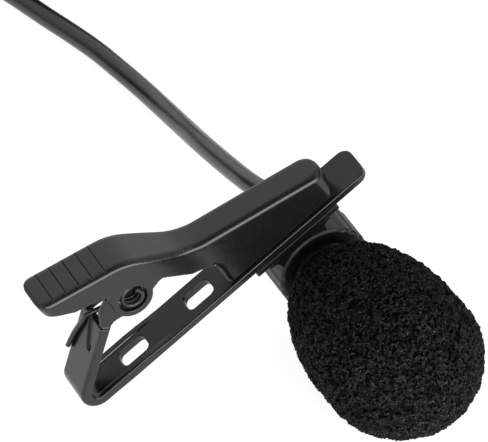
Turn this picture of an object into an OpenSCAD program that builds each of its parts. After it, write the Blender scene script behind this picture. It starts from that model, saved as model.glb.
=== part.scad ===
// Lavalier microphone on a sprung clip, with foam windscreen, coiled cord and 3.5 mm plug.
// The clip is drawn level, with its plate's tip at the origin, and then tilted until the
// jaw's bend and the foam both touch the ground.

/* [Lower jaw] */
// Length of the plate from its tip to the centre of the bend
plate_len = 43.4; // [41:0.2:46]
// Width of the steel strip
plate_w = 5.7; // [5.4:0.1:6.2]
// Thickness of the steel strip
jaw_t = 1.1; // [0.9:0.05:1.3]
// Outer radius of the bend at the back of the jaw
bend_r = 2.4; // [2:0.1:2.8]
// Angle between the rear leg and the plate
leg_angle = 41.3; // [38:0.5:45]
// Depth of the side lips, measured from the outside of the strip
lip_depth = 1.4; // [1.3:0.1:1.9]
// Length of the slots
slot_len = 4.1; // [3.6:0.1:4.4]
// Width of the slots
slot_w = 2.6; // [2.2:0.1:2.8]
// Distance from one slot to the next
slot_pitch = 10.8; // [10.4:0.1:11.2]

/* [Pivot] */
// Height of the pivot above the plate
pivot_h = 10.5; // [10:0.1:11]
// Distance of the pivot in front of the centre of the bend
pivot_fwd = 11.5; // [11:0.1:12]
// Radius of the holes in the ears
ear_hole_r = 1.95; // [1.85:0.05:2.1]
// Width of the steel round the holes in the ears
ear_rim = 0.8; // [0.7:0.05:0.9]

/* [Upper lever] */
// Width of the thumb pad and the ears
pad_w = 6.4; // [6.2:0.1:6.8]
// Width of the box-shaped front
nose_w = 4.8; // [4.6:0.1:5.2]
// Thickness of the drawn steel
lever_t = 0.7; // [0.6:0.05:0.8]
// Length of the thumb pad behind the pivot
pad_len = 9.3; // [8.6:0.1:10]
// Height of the thumb pad's rear edge above the plate
pad_h = 19.9; // [19.2:0.1:20.6]
// Height of the box-shaped front at its rear
knee_h = 9.2; // [8.8:0.1:9.6]
// Height of the box-shaped front at its nose
nose_h = 4.3; // [4:0.1:4.8]
// Length of the box-shaped front
box_len = 18; // [17:0.2:19]
// Length of the plate that shows in front of the nose
tip_len = 4; // [3.6:0.1:4.6]
// Number of grip ridges on the thumb pad
ridges = 5; // [3:1:6]

/* [Spring] */
// Thickness of the spring's wire
wire_d = 0.6; // [0.5:0.05:0.6]
// Outer diameter of the spring's coil
spring_d = 3.3; // [3.1:0.1:3.4]

/* [Holder] */
// Distance from the plate's tip back to the microphone's axis
axis_back = 12.2; // [11.6:0.1:12.8]
// Depth of the microphone's axis below the plate's upper face
axis_drop = 8.8; // [8.6:0.1:9.6]
// Length of the slab under the plate
slab_len = 13.4; // [13:0.2:14]
// Thickness of the slab
slab_t = 0.8; // [0.7:0.05:1]
// Width of the neck between slab and ring
neck_w = 10; // [9:0.2:10.6]
// Width of the ring along the microphone
ring_w = 6; // [5.6:0.1:6.4]
// Thickness of the ring
ring_t = 2; // [1.8:0.1:2.2]

/* [Microphone] */
// Diameter of the microphone's body
body_d = 8.5; // [8.2:0.1:8.8]
// Diameter of the microphone's head
head_d = 9.9; // [9.6:0.1:10.4]
// Wall of the housing
shell_t = 0.6; // [0.5:0.05:0.7]
// Length of the head
head_len = 9.7; // [9:0.1:10.5]
// Distance from the ring to the head
head_gap = 0.9; // [0.7:0.1:1.3]
// Length of the body behind the ring
rear_len = 6; // [5.5:0.1:6.5]
// Diameter of the electret capsule
capsule_d = 6; // [5.6:0.1:6.4]
// Length of the electret capsule
capsule_len = 3; // [2.7:0.1:3.2]
// Thickness of the grille
grille_t = 0.6; // [0.5:0.05:0.7]
// Length of the strain relief outside the housing
relief_len = 2.6; // [2.2:0.2:4]

/* [Windscreen] */
// Diameter of the foam
foam_d = 21; // [20:0.2:22]
// Length of the foam
foam_len = 28; // [27:0.2:31]
// Length of the foam's rounded rear
foam_rear = 12; // [11:0.5:13]
// Length of the foam's rounded front
foam_nose = 10; // [9:0.5:11]
// Length of the head that shows behind the foam
rim_len = 0.7; // [0.5:0.1:0.9]

/* [Cord and plug] */
// Diameter of the cord
cord_d = 2.5; // [2.3:0.1:2.6]
// Mean radius of the coiled cord
coil_r = 13.75; // [13:0.25:15]
// Gap between neighbouring turns of the coiled cord
turn_gap = 0.5; // [0.45:0.05:0.6]
// Turns in each layer of the coiled cord
layer_turns = 4; // [3:1:4]
// Thickness of the tie's strap
tie_t = 0.5; // [0.4:0.05:0.6]
// Width of the tie's strap
tie_w = 5; // [4:0.5:6]
// Diameter of the plug's contacts
pin_d = 3.5; // [3.4:0.05:3.6]
// Length of the plug's contacts
pin_len = 14; // [13.6:0.1:14.4]
// Diameter of the plug's cover
cover_d = 7.6; // [7:0.1:8]
// Length of the plug's cover
cover_len = 16; // [14:0.5:18]

/* [Hidden] */
$fn = 48;
// Clearance between pieces that are pushed together
push_gap = 0.03;
// Clearance between pieces that turn or slide on each other
run_gap = 0.08;
// Clearance under the closed nose
jaw_gap = 0.1;

// Clip, level: points are [forwards from the tip, up from the plate's upper face]
bend_c = [-plate_len, bend_r - jaw_t];
pivot = [-plate_len + pivot_fwd, pivot_h];
leg_dir = [cos(leg_angle), sin(leg_angle)];
leg_out = [-sin(leg_angle), cos(leg_angle)];
leg_base = bend_c + bend_r * leg_out;
web_len = 9.4;
lip_t = 0.8;
lip_fade = 13;
ear_out = pad_w / 2 - lever_t - run_gap;
slot_x = [for (i = [0:2]) -plate_len + 6.4 + i * slot_pitch];
tip_r = 1.5;
slot_r = 0.75;

// Tilt that brings the bend and the foam to the same ground
bend_from_axis = bend_c + [axis_back, axis_drop];
tilt = asin((foam_d / 2 - bend_r) / norm(bend_from_axis))
    + atan2(bend_from_axis.y, -bend_from_axis.x);

// Lever's top line
nose_x = -tip_len;
knee_x = nose_x - box_len;
shoulder = pivot + [2.3, 5.8];
pad_x = pivot.x - pad_len;
edge_r = 0.9;
pad_corner = 1.4;
nose_corner = 1.9;
nose_lean = 1.4;
waist_rear = pivot.x + 3.2;

// Microphone, along its axis: positions are forwards from the middle of the ring
head_back = ring_w / 2 + head_gap;
head_front = head_back + head_len;
cap_y = -ring_w / 2 - rear_len;
cap_t = 1.2;
relief_y = cap_y - cap_t;
cord_y = relief_y - relief_len;
shoulder_t = 2;
grille_y = head_front - 0.2;
felt_t = 0.5;
felt_y = grille_y - grille_t;
capsule_y = felt_y - felt_t;
board_t = 0.6;
board_y = capsule_y - capsule_len;
ferrule_len = 1.5;
plug_in_y = cap_y + 3;
foam_back = head_back + rim_len;
foam_front = foam_back + foam_len;

// Place of the microphone's axis, so that the origin is under the middle of the clip,
// microphone and foam
pad_from_axis = [pad_x + axis_back, pad_h + axis_drop];
rear_reach = -pad_from_axis.x * cos(tilt) + pad_from_axis.y * sin(tilt);
mic_x = (rear_reach - foam_d / 2) / 2;
mic_y = (foam_front + cord_y) / 2;
axis_h = foam_d / 2;

// Cord, in the part's own frame
cord_r = cord_d / 2;
no_floor = -1000;
turn_step = cord_d + turn_gap;
layers = 4;
coil_out = coil_r + turn_step * layer_turns / 2;
coil_c = [23.25, 108.2];
coil_z = tie_t + push_gap + cord_r;
coil_start = [coil_c.x - coil_out, coil_c.y];
coil_top = coil_z + (layers - 1) * turn_step;
plug_at = [13, coil_c.y + coil_out + cord_r + cover_d / 2 + 1, cover_d / 2];
cord_route = [[14.25, 27.7, 9.6], [14.2, 33.2, 8.1], [14.3, 40.7, 6.1], [14.8, 48.2, 3.8],
    [15, 55.2, 2.1], [14.6, 61.2, 1.4], [13.8, 66.2, 1.25], [12.8, 71.2, 1.25], [11.4, 76.2, 1.25],
    [9.8, 81.2, 1.25], [8, 87.2, 1.25], [6, 93.2, 1.25], [4.4, 99.2, 1.4]];
tail_route = [[3.5, 115.2, 10.1], [3.6, 119.7, 8.6], [4.2, 124.2, 7], [5.6, 128.6, 5.5],
    [7.9, 132.2, 4.4]];

function arc(c, r, from, to, n) =
    [for (i = [0:n]) let (a = from + (to - from) * i / n) c + r * [cos(a), sin(a)]];
function on_leg(along, depth) = leg_base + along * leg_dir - depth * leg_out;
function unit(v) = v / norm(v);

// Points of a ring of n corners round p, flat side down, kept above the floor
function ring(p, t, ref, r, n, floor_z) =
    let (side = unit(cross(t, ref)), up = cross(side, t))
    [for (k = [0:n - 1]) let (a = 270 + 180 / n + 360 * k / n,
        q = p + r * (cos(a) * side + sin(a) * up)) [q.x, q.y, max(q.z, floor_z)]];
function tube_faces(rings, n) = concat(
    [for (k = [1:n - 2]) [0, k, k + 1]],
    [for (i = [0:rings - 2], k = [0:n - 1])
        let (a = i * n + k, b = i * n + (k + 1) % n) each [[a, a + n, b], [b, a + n, b + n]]],
    [for (k = [1:n - 2]) let (z = (rings - 1) * n) [z, z + k + 1, z + k]]);
module tube(path, r, n, ref, floor_z) {
    last = len(path) - 1;
    pts = [for (i = [0:last])
        each ring(path[i], unit(path[min(i + 1, last)] - path[max(i - 1, 0)]), ref, r, n, floor_z)];
    polyhedron(pts, tube_faces(last + 1, n));
}
// Least gap between turns of a tube, measured between the points of its middle line
function least_gap(path, r, skip) = min([for (i = [0:len(path) - 1 - skip])
    min([for (j = [i + skip:len(path) - 1]) norm(path[i] - path[j])])]) - 2 * r;

// Coil that spirals in and out again, and climbs a layer where the spiral turns back
coil_turns = layers * layer_turns;
function coil_radius(u) = let (v = u % (2 * layer_turns))
    coil_out - turn_step * min(v, 2 * layer_turns - v);
function climb(u) = min(1, max(0, 2 * u + 0.5));
function coil_height(u) = coil_z
    + turn_step * (climb(u - layer_turns) + climb(u - 2 * layer_turns) + climb(u - 3 * layer_turns));
function coil_point(u) = let (a = 180 - 360 * u)
    [coil_c.x + coil_radius(u) * cos(a), coil_c.y + coil_radius(u) * sin(a), coil_height(u)];
coil_in = [coil_start.x, coil_start.y - cord_d, coil_z];
coil_end = [coil_start.x, coil_start.y + cord_d, coil_top];
coil_path = concat([coil_in], [for (i = [0:24 * coil_turns]) coil_point(i / 24)], [coil_end]);

// Spring: wound through the near ears, with its free leg on the back of the jaw's leg
spring_r = (spring_d - wire_d) / 2;
spring_turns = 2;
spring_sag = ear_hole_r - spring_d / 2 - push_gap;
spring_c = pivot - [0, spring_sag];
spring_y = -pad_w / 2 + wire_d / 2;
spring_a0 = 48;
spring_a1 = -99.5;
spring_sweep = spring_a1 - spring_a0 - 360 * spring_turns;
spring_end_y = spring_y - (wire_d + 0.45) * spring_sweep / 360;
spring_steps = 20;
function spring_point(t) = let (a = spring_a0 + spring_sweep * t)
    [spring_c.x + spring_r * cos(a), spring_y + (spring_end_y - spring_y) * t,
        spring_c.y + spring_r * sin(a)];
spring_coil = [for (i = [0:spring_steps]) spring_point(i / spring_steps)];
elbow = on_leg(web_len + 0.4, -wire_d / 2 - 0.1);
leg_end = on_leg(3.5, -wire_d / 2 - push_gap);
spring_path = concat(spring_coil, [[elbow.x, 1.1, elbow.y], [leg_end.x, 2.7, leg_end.y]]);

echo("least gap of the coiled cord to itself", least_gap(coil_path, cord_r, 12));
echo("least gap of the spring to itself", least_gap(spring_coil, wire_d / 2, 4));

module at_mic() translate([mic_x, mic_y, axis_h]) children();
module in_clip() at_mic() rotate([0, -tilt, 0]) translate([axis_back, 0, axis_drop]) children();
// Extrudes a side view across the clip
module across(w) rotate([90, 0, 0]) linear_extrude(w, center = true) children();
// A cylinder or tube on the microphone's axis, from one position to another
module along_mic(front, back, r, hole = 0) at_mic() translate([0, -front, 0]) rotate([-90, 0, 0])
    difference() {
        cylinder(h = front - back, r = r);
        if (hole > 0) translate([0, 0, -1]) cylinder(h = front - back + 2, r = hole);
    }
module rounded_slot(l, w, r) {
    square([l - 2 * r, w], center = true);
    square([l, w - 2 * r], center = true);
    for (x = [-1, 1], y = [-1, 1]) translate([x * (l / 2 - r), y * (w / 2 - r)]) circle(r);
}

// Side view of a strip of the given depth, from the plate round the bend to the leg's end
module strip_side(depth, front, leg_end, front_depth) {
    polygon(concat([[front, -jaw_t]], arc(bend_c, bend_r, 270, 90 + leg_angle, 20),
        [on_leg(leg_end, 0), on_leg(leg_end, depth)],
        arc(bend_c, bend_r - depth, 90 + leg_angle, 270, 20), [[front, -jaw_t + front_depth]]));
}
module ear_side() {
    translate(pivot) circle(ear_hole_r + ear_rim - 0.1);
    polygon([on_leg(web_len - 1, 0), on_leg(web_len + 0.5, 0.2), pivot + [-2.1, 1.9], pivot + [0, 2.6],
        pivot + [0.5, 0], pivot + [0, -2.6], pivot + [-2.4, -2.1], on_leg(web_len + 0.4, lip_depth + 0.4),
        on_leg(web_len - 1, lip_depth)]);
}
module lower_jaw() color("dimgray") in_clip() difference() {
    union() {
        intersection() {
            across(plate_w) strip_side(jaw_t, 0, web_len, jaw_t);
            translate([0, 0, -pad_h]) linear_extrude(2 * pad_h) {
                translate([-plate_len - pivot_fwd, -plate_w / 2])
                    square([plate_len + pivot_fwd - tip_r, plate_w]);
                translate([-2 * tip_r, tip_r - plate_w / 2]) square([2 * tip_r, plate_w - 2 * tip_r]);
                for (y = [-1, 1]) translate([-tip_r, y * (plate_w / 2 - tip_r)]) circle(tip_r);
            }
        }
        for (y = [-1, 1]) {
            translate([0, y * (plate_w - lip_t) / 2, 0]) across(lip_t)
                strip_side(lip_depth, lip_fade - plate_len, web_len + 0.4, jaw_t);
            translate([0, y * (ear_out - lip_t / 2), 0]) across(lip_t) ear_side();
        }
        translate([pivot.x, ear_out - lip_t / 2, pivot.y]) rotate([-90, 0, 0])
            cylinder(h = lip_t / 2 + run_gap + lever_t, r = ear_hole_r - run_gap);
    }
    for (x = slot_x) translate([x, 0, -jaw_t - 1]) linear_extrude(jaw_t + 2)
        rounded_slot(slot_len, slot_w, slot_r);
    translate([pivot.x, 0, pivot.y]) rotate([90, 0, 0]) cylinder(h = pad_w, r = ear_hole_r);
}

// Lever: a lofted channel whose lower edge follows the side view
lever_top = [[pad_x, pad_h], [shoulder.x - 0.9, shoulder.y + 0.3], [shoulder.x + 0.8, shoulder.y - 0.7],
    [knee_x - 1.6, knee_h + 1.2], [knee_x + 0.8, knee_h - 0.2], [nose_x, nose_h]];
function smooth(t) = t < 0 ? 0 : t > 1 ? 1 : t * t * (3 - 2 * t);
function half_width(x) = (pad_w - (pad_w - nose_w) * smooth((x - waist_rear) / (knee_x - waist_rear))) / 2;
function round_off(r, d) = d >= r ? 0 : r - sqrt(r * r - (r - d) * (r - d));
function lever_ring(x, inset, from_end) =
    let (corner = x < pivot.x ? pad_corner : nose_corner,
        w = half_width(x) - inset - round_off(corner - inset, from_end),
        z = lookup(x, lever_top) - 1.1 * inset - round_off(edge_r - inset, from_end + 0.25),
        r = min(edge_r - inset * 0.9, w))
    [for (p = concat([[-w, -3]], arc([r - w, z - r], r, 180, 90, 4), arc([w - r, z - r], r, 90, 0, 4),
        [[w, -3]])) [x, -p.x, p.y]];
module lever_loft(inset, rear, front) {
    ends = [0, 0.25, 0.7, 1.4];
    xs = concat([for (d = ends) rear + d],
        [for (p = lever_top) if (p.x > rear + 1.5 && p.x < front - 1.5) p.x],
        [for (i = [1:4]) waist_rear + (knee_x - waist_rear) * i / 5 + 0.11], [for (d = ends) front - d]);
    sorted = sort_up(xs);
    rings = [for (x = sorted) lever_ring(x, inset, min(x - rear, front - x))];
    polyhedron([for (r = rings) each r], tube_faces(len(rings), len(rings[0])));
}
function sort_up(v) = len(v) < 2 ? v : let (m = v[0])
    concat(sort_up([for (x = v) if (x < m) x]), [m],
        sort_up([for (i = [1:len(v) - 1]) if (v[i] >= m) v[i]]));
module lever_side() {
    translate(pivot) circle(ear_hole_r + ear_rim);
    polygon([[pad_x - 1, pad_h + 2], [nose_x + 1, pad_h + 2], [nose_x + 0.4, nose_h],
        [nose_x - nose_lean, jaw_gap],
        [knee_x, jaw_gap], [knee_x, 3.9], [knee_x - 0.9, 5], [knee_x - 2.6, 6.3], pivot + [4.7, -1.05],
        pivot + [4.1, -0.65], pivot + [3.1, -0.85], pivot + [2, -1.4], pivot + [-2, 1], pivot + [-2.3, 3.6],
        pivot + [-4, 4.1], pivot + [-6.2, 4.9], pivot + [-8.4, 6.7], [pad_x - 1, pivot_h + 7.6]]);
}
module upper_lever() color("dimgray") in_clip() {
    difference() {
        intersection() {
            lever_loft(0, pad_x, nose_x);
            across(pad_w + 2) lever_side();
        }
        lever_loft(lever_t, pad_x + lever_t, nose_x - nose_lean - lever_t);
        translate([pivot.x, 0, pivot.y]) rotate([90, 0, 0])
            cylinder(h = pad_w + 2, r = ear_hole_r, center = true);
    }
    // Lug that the end of the spring pushes on
    translate([pivot.x, lever_t / 2 - pad_w / 2, pivot.y]) rotate([0, -70, 0])
        translate([ear_hole_r - 0.1, 0, 0]) cube([0.6, lever_t, 0.6], center = true);
    pad_rise = atan2(pad_h - shoulder.y, shoulder.x - pad_x);
    for (i = [0:ridges - 1]) let (x = pad_x + 2.4 + i * 1.78) translate([x, 0, lookup(x, lever_top) - 0.2])
        rotate([90, pad_rise, 0]) cylinder(h = pad_w - 2 * edge_r, r = 0.36, center = true, $fn = 24);
}
module torsion_spring() color("gray") in_clip() tube(spring_path, wire_d / 2, 6, [0, 1, 0], no_floor);

slab_z = -jaw_t - push_gap;
boss_x = slot_x[2];
rivet_r = 0.8;
rivet_head_r = 1.55;
rivet_head_t = 0.6;
rivet_depth = 3.2;
ring_out = body_d / 2 + push_gap + ring_t;
module mic_holder() color([0.1, 0.1, 0.1]) in_clip() difference() {
    union() {
        translate([-axis_back - slab_len / 2, -plate_w / 2, slab_z - slab_t])
            cube([slab_len, plate_w, slab_t]);
        translate([boss_x, 0, slab_z - 0.1]) linear_extrude(jaw_t + 0.1)
            rounded_slot(slot_len - 2 * push_gap, slot_w - 2 * push_gap, slot_r - push_gap);
        translate([-axis_back, 0, -axis_drop]) {
            across(ring_w - 0.6) polygon([[-neck_w / 2, axis_drop + slab_z - slab_t + 0.1],
                [neck_w / 2, axis_drop + slab_z - slab_t + 0.1], [ring_out - 0.05, 0.8], [0.8 - ring_out, 0],
                [0.05 - ring_out, 0.8]]);
            rotate([90, 0, 0]) rotate_extrude() translate([ring_out - ring_t / 2, 0])
                rounded_slot(ring_t, ring_w, 0.5);
        }
    }
    translate([-axis_back, 0, -axis_drop]) rotate([90, 0, 0])
        cylinder(h = ring_w + 2, r = body_d / 2 + push_gap, center = true);
    translate([boss_x, 0, -rivet_depth]) cylinder(h = rivet_depth + 1, r = rivet_r + push_gap);
}
module holder_rivet() color("gray") in_clip() translate([boss_x, 0, 0]) {
    translate([0, 0, 0.1 - rivet_depth]) cylinder(h = rivet_depth, r = rivet_r);
    translate([0, 0, push_gap]) cylinder(h = rivet_head_t - 0.2, r = rivet_head_r);
    translate([0, 0, push_gap + rivet_head_t - 0.2])
        cylinder(h = 0.2, r1 = rivet_head_r, r2 = rivet_head_r - 0.3);
}

module mic_housing() color([0.12, 0.12, 0.12]) at_mic() rotate([90, 0, 0]) rotate_extrude()
    polygon([[body_d / 2 - shell_t, cap_y], [body_d / 2, cap_y], [body_d / 2, head_back - 0.5],
        [head_d / 2 - 0.2, head_back], [head_d / 2, head_back + 0.2], [head_d / 2, head_front - 0.3],
        [head_d / 2 - 0.3, head_front], [head_d / 2 - shell_t, head_front],
        [head_d / 2 - shell_t, head_back + shoulder_t], [body_d / 2 - shell_t, head_back + shoulder_t]]);
head_bore = head_d / 2 - shell_t - push_gap;
module front_grille() color("silver") difference() {
    along_mic(grille_y, felt_y, head_bore);
    for (row = [0:2], i = [0:max(0, 6 * row - 1)]) at_mic() rotate([0, 60 * i / max(1, row), 0])
        translate([1.3 * row, 0, 0]) rotate([90, 0, 0])
            translate([0, 0, felt_y - 1]) cylinder(h = grille_t + 2, r = 0.4, $fn = 24);
}
module felt_disc() color("dimgray") along_mic(felt_y, capsule_y, head_bore);
module electret_capsule() color("silver") along_mic(capsule_y, board_y, capsule_d / 2);
module capsule_gasket() color([0.15, 0.15, 0.15])
    along_mic(capsule_y, board_y - board_t - 0.4, head_bore, capsule_d / 2 + push_gap);
module capsule_board() color("darkgreen") along_mic(board_y, board_y - board_t, capsule_d / 2 - 0.2);
module lead_wire(x) translate([x, 0, 0]) along_mic(board_y - board_t, plug_in_y, 0.35);
module signal_wire() color("firebrick") lead_wire(-0.65);
module ground_wire() color("gray") lead_wire(0.65);
module cable_ferrule() color("goldenrod") along_mic(plug_in_y + ferrule_len, plug_in_y, 1.8, 1.3);
module rear_cap() color([0.12, 0.12, 0.12]) {
    along_mic(cap_y, relief_y, body_d / 2, 1.7 + push_gap);
    along_mic(cap_y + 2, cap_y, body_d / 2 - shell_t - push_gap, 1.7 + push_gap);
}
module strain_relief() color([0.08, 0.08, 0.08]) at_mic() rotate([90, 0, 0]) {
    rotate_extrude() polygon([[0, cord_y], [cord_r + 0.35, cord_y], [2.3, relief_y - 1], [2.4, relief_y],
        [1.7, relief_y], [1.7, cap_y + 2], [2.4, cap_y + 2.2], [2.4, plug_in_y], [0, plug_in_y]]);
    for (i = [1:2]) translate([0, 0, cord_y + i * 0.9 - 0.3]) cylinder(h = 0.4, r = 2 + 0.15 * i);
}

foam_r = foam_d / 2;
foam_bore = head_d / 2 + run_gap;
foam_lip = 0.4;
foam_steps = 12;
// Rounded end between a radius and a position along the axis, slimmer than an ellipse
function taper(a) = [pow(cos(a), 1.3), pow(sin(a), 1.1)];
module windscreen() color([0.13, 0.13, 0.13]) at_mic() rotate([90, 0, 0]) rotate_extrude($fn = 64)
    polygon(concat([[0, head_front + run_gap], [foam_bore, head_front + run_gap], [foam_bore, foam_back]],
        [for (i = [foam_steps:-1:0]) let (p = taper(90 * i / foam_steps), r = foam_bore + foam_lip)
            [r + (foam_r - r) * p.x, foam_back + foam_rear * (1 - p.y)]],
        [for (i = [0:foam_steps]) let (p = taper(90 * i / foam_steps))
            [foam_r * p.x, foam_front - foam_nose * (1 - p.y)]]));

module cord() color([0.06, 0.06, 0.06]) tube(concat([[mic_x, mic_y - cord_y, axis_h],
    [mic_x, mic_y - cord_y + cord_d, axis_h]], cord_route, [coil_in - [0, cord_d, 0], coil_in]),
    cord_r, 8, [0, 0, 1], 0);
module cord_coil() color([0.06, 0.06, 0.06]) tube(coil_path, cord_r, 6, [0, 0, 1], 0);
bundle_w = turn_step * layer_turns + cord_d + 2 * push_gap;
bundle_h = (layers - 1) * turn_step + cord_d + 2 * push_gap;
module cord_tie() color([0.2, 0.2, 0.2]) translate([coil_c.x, coil_c.y, 0]) rotate([0, 0, -45])
    translate([coil_r, 0, tie_t + bundle_h / 2]) across(tie_w) difference() {
        rounded_slot(bundle_w + 2 * tie_t, bundle_h + 2 * tie_t, 1.2);
        rounded_slot(bundle_w, bundle_h, 0.7);
    }
module cord_tail() color([0.06, 0.06, 0.06])
    tube(concat([coil_end, coil_end + [0, cord_d, 0]], tail_route, [plug_at - [cord_d, 0, 0], plug_at]),
        cord_r, 8, [0, 0, 1], 0);

// Plug: positions are along the plug from the end of its strain relief
plug_relief_len = 8;
cover_x = plug_relief_len;
pin_x = cover_x + cover_len;
tip_x = pin_x + pin_len;
tip_piece = 3.6;
insulator_t = 0.6;
ring_piece = 2.2;
sleeve_end = tip_x - tip_piece - 2 * insulator_t - ring_piece;
core_r = 0.6;
root_len = 6;
root_r = pin_d / 2 - 0.35;
module on_plug(x) translate(plug_at + [x, 0, 0]) rotate([0, 90, 0]) children();
module plug_relief() color([0.08, 0.08, 0.08]) {
    on_plug(0) cylinder(h = plug_relief_len, r1 = cord_r + 0.4, r2 = 2.5);
    for (i = [1:4]) on_plug(i * 1.6) cylinder(h = 0.7, r = 1.9 + 0.2 * i);
}
module plug_cover() color([0.08, 0.08, 0.08]) on_plug(cover_x) rotate_extrude() difference() {
    polygon([[0, 0], [2.7, 0], [cover_d / 2 - 0.4, 1.2], [cover_d / 2, 3], [cover_d / 2, cover_len - 1],
        [cover_d / 2 - 0.5, cover_len], [0, cover_len]]);
    translate([0, cover_len - root_len]) square([root_r + push_gap, root_len + 1]);
    for (i = [0:4]) translate([cover_d / 2, 4.5 + 1.6 * i]) circle(0.3, $fn = 24);
}
module plug_sleeve() color("silver") on_plug(pin_x - root_len) difference() {
    union() {
        cylinder(h = root_len + 1, r = root_r);
        translate([0, 0, root_len]) cylinder(h = sleeve_end - pin_x, r = pin_d / 2);
    }
    translate([0, 0, 2]) cylinder(h = pin_len + root_len, r = core_r + push_gap);
}
module insulator() difference() {
    cylinder(h = insulator_t, r = pin_d / 2);
    translate([0, 0, -1]) cylinder(h = 3, r = core_r + push_gap);
}
module sleeve_insulator() color([0.05, 0.05, 0.05]) on_plug(sleeve_end) insulator();
module tip_insulator() color([0.05, 0.05, 0.05]) on_plug(sleeve_end + insulator_t + ring_piece) insulator();
module plug_ring() color("silver") on_plug(sleeve_end + insulator_t) difference() {
    cylinder(h = ring_piece, r = pin_d / 2);
    translate([0, 0, -1]) cylinder(h = ring_piece + 2, r = core_r + push_gap);
}
module plug_tip() color("silver") on_plug(pin_x - 4 + push_gap) rotate_extrude()
    polygon([[0, 0], [core_r, 0], [core_r, tip_x - tip_piece - pin_x + 4 - push_gap],
        [pin_d / 2, tip_x - tip_piece - pin_x + 4 - push_gap], [pin_d / 2 - 0.5, tip_x - pin_x + 2],
        [pin_d / 2, tip_x - pin_x + 2.8], [0.7, tip_x - pin_x + 4], [0, tip_x - pin_x + 4]]);

lower_jaw();
upper_lever();
torsion_spring();
mic_holder();
holder_rivet();
mic_housing();
front_grille();
felt_disc();
electret_capsule();
capsule_gasket();
capsule_board();
signal_wire();
ground_wire();
cable_ferrule();
rear_cap();
strain_relief();
windscreen();
cord();
cord_coil();
cord_tie();
cord_tail();
plug_relief();
plug_cover();
plug_sleeve();
plug_ring();
plug_tip();
sleeve_insulator();
tip_insulator();
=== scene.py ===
import math
import bmesh
import bpy
import numpy as np
from mathutils import Matrix, Vector
from mathutils.kdtree import KDTree


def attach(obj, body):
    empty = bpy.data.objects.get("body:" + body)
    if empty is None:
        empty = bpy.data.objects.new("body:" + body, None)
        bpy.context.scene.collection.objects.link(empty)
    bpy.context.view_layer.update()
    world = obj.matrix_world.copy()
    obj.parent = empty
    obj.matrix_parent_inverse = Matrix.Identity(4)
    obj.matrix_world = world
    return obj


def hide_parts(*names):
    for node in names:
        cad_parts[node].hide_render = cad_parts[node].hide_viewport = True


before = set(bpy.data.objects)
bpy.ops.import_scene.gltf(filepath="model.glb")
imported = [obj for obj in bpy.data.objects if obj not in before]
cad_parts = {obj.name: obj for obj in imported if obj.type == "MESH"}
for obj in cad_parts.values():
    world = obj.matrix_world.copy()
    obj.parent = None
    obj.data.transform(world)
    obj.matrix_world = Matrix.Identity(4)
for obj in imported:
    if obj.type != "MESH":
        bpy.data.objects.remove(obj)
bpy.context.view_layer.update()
MM = 0.001  # lengths are in mm until they are multiplied by this, or by CLIP or AXIS
scene = bpy.context.scene
scene.view_settings.view_transform = "Standard"

# ---------------------------------------------------------------- sizes, mm, as in part.scad
# Lower jaw: its plate, steel, bend and rear leg, then the plate's slots
PLATE_LEN, PLATE_W, JAW_T, BEND_R, LEG_ANGLE = 43.4, 5.7, 1.1, 2.4, 41.3
SLOT_FIRST, SLOT_PITCH, SLOT_LEN, SLOT_W, SLOT_R = 6.4, 10.8, 4.1, 2.6, 0.75
# The clip is drawn level, with x from the plate's tip and z from its upper face, then tilted
PIVOT, TILT = (-31.9, 10.5), math.radians(32.2375)
HOLE_R, SPRING_D, PUSH_GAP = 1.95, 3.3, 0.03
SPRING_SAG = HOLE_R - SPRING_D / 2 - PUSH_GAP
# Upper lever: its widths, steel, ends, top line and corners
PAD_W, NOSE_W, LEVER_T, EDGE_R = 6.4, 4.8, 0.7, 0.9
PAD_X, PAD_H, PAD_CORNER = PIVOT[0] - 9.3, 19.9, 1.4
NOSE_X, NOSE_H, NOSE_CORNER, NOSE_LEAN = -4.0, 4.3, 1.9, 1.4
KNEE_X, KNEE_H, WAIST_REAR = -22.0, 9.2, PIVOT[0] + 3.2
SHOULDER = (PIVOT[0] + 2.3, PIVOT[1] + 5.8)
# The microphone's axis: from the plate's tip and face, and in the frame at the holder's ring
AXIS_BACK, AXIS_DROP = 12.2, 8.8
MIC_X, MIC_Y = 14.6695, 9.9
FOAM_R = 10.5  # the foam lies on the ground, so this is the axis's height too
# Cord: its thickness, the one that the photo shows, and its exit behind the ring
CORD_D, CORD_LOOK, EXIT_BACK = 2.5, 2.8, 12.8
# Coil and tie: turns, turns in a layer, layers, pitch, middle radius, centre, strap
TURNS, LAYER_TURNS, LAYERS, STEP, COIL_MID = 16, 4, 4, 3.0, 13.75
COIL_C, TIE_T = (23.25, 108.2), 0.5
PLUG_X, PLUG_R, PLUG_GAP = 13.0, 3.8, 1


def mic(x, y, z):
    """Metres, from mm: x across and y along the axis from the ring, z from the ground."""
    return Vector(((x + MIC_X) * MM, (y + MIC_Y) * MM, z * MM))


# From the level clip, and from the microphone with its axis at 0, to the frame
CLIP = Matrix.Translation(mic(AXIS_BACK * math.cos(TILT) - AXIS_DROP * math.sin(TILT), 0,
                              FOAM_R + AXIS_BACK * math.sin(TILT) + AXIS_DROP * math.cos(TILT)))
CLIP = CLIP @ Matrix.Rotation(-TILT, 4, "Y") @ Matrix.Scale(MM, 4)
AXIS = Matrix.Translation(mic(0, 0, FOAM_R)) @ Matrix.Scale(MM, 4)

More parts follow.
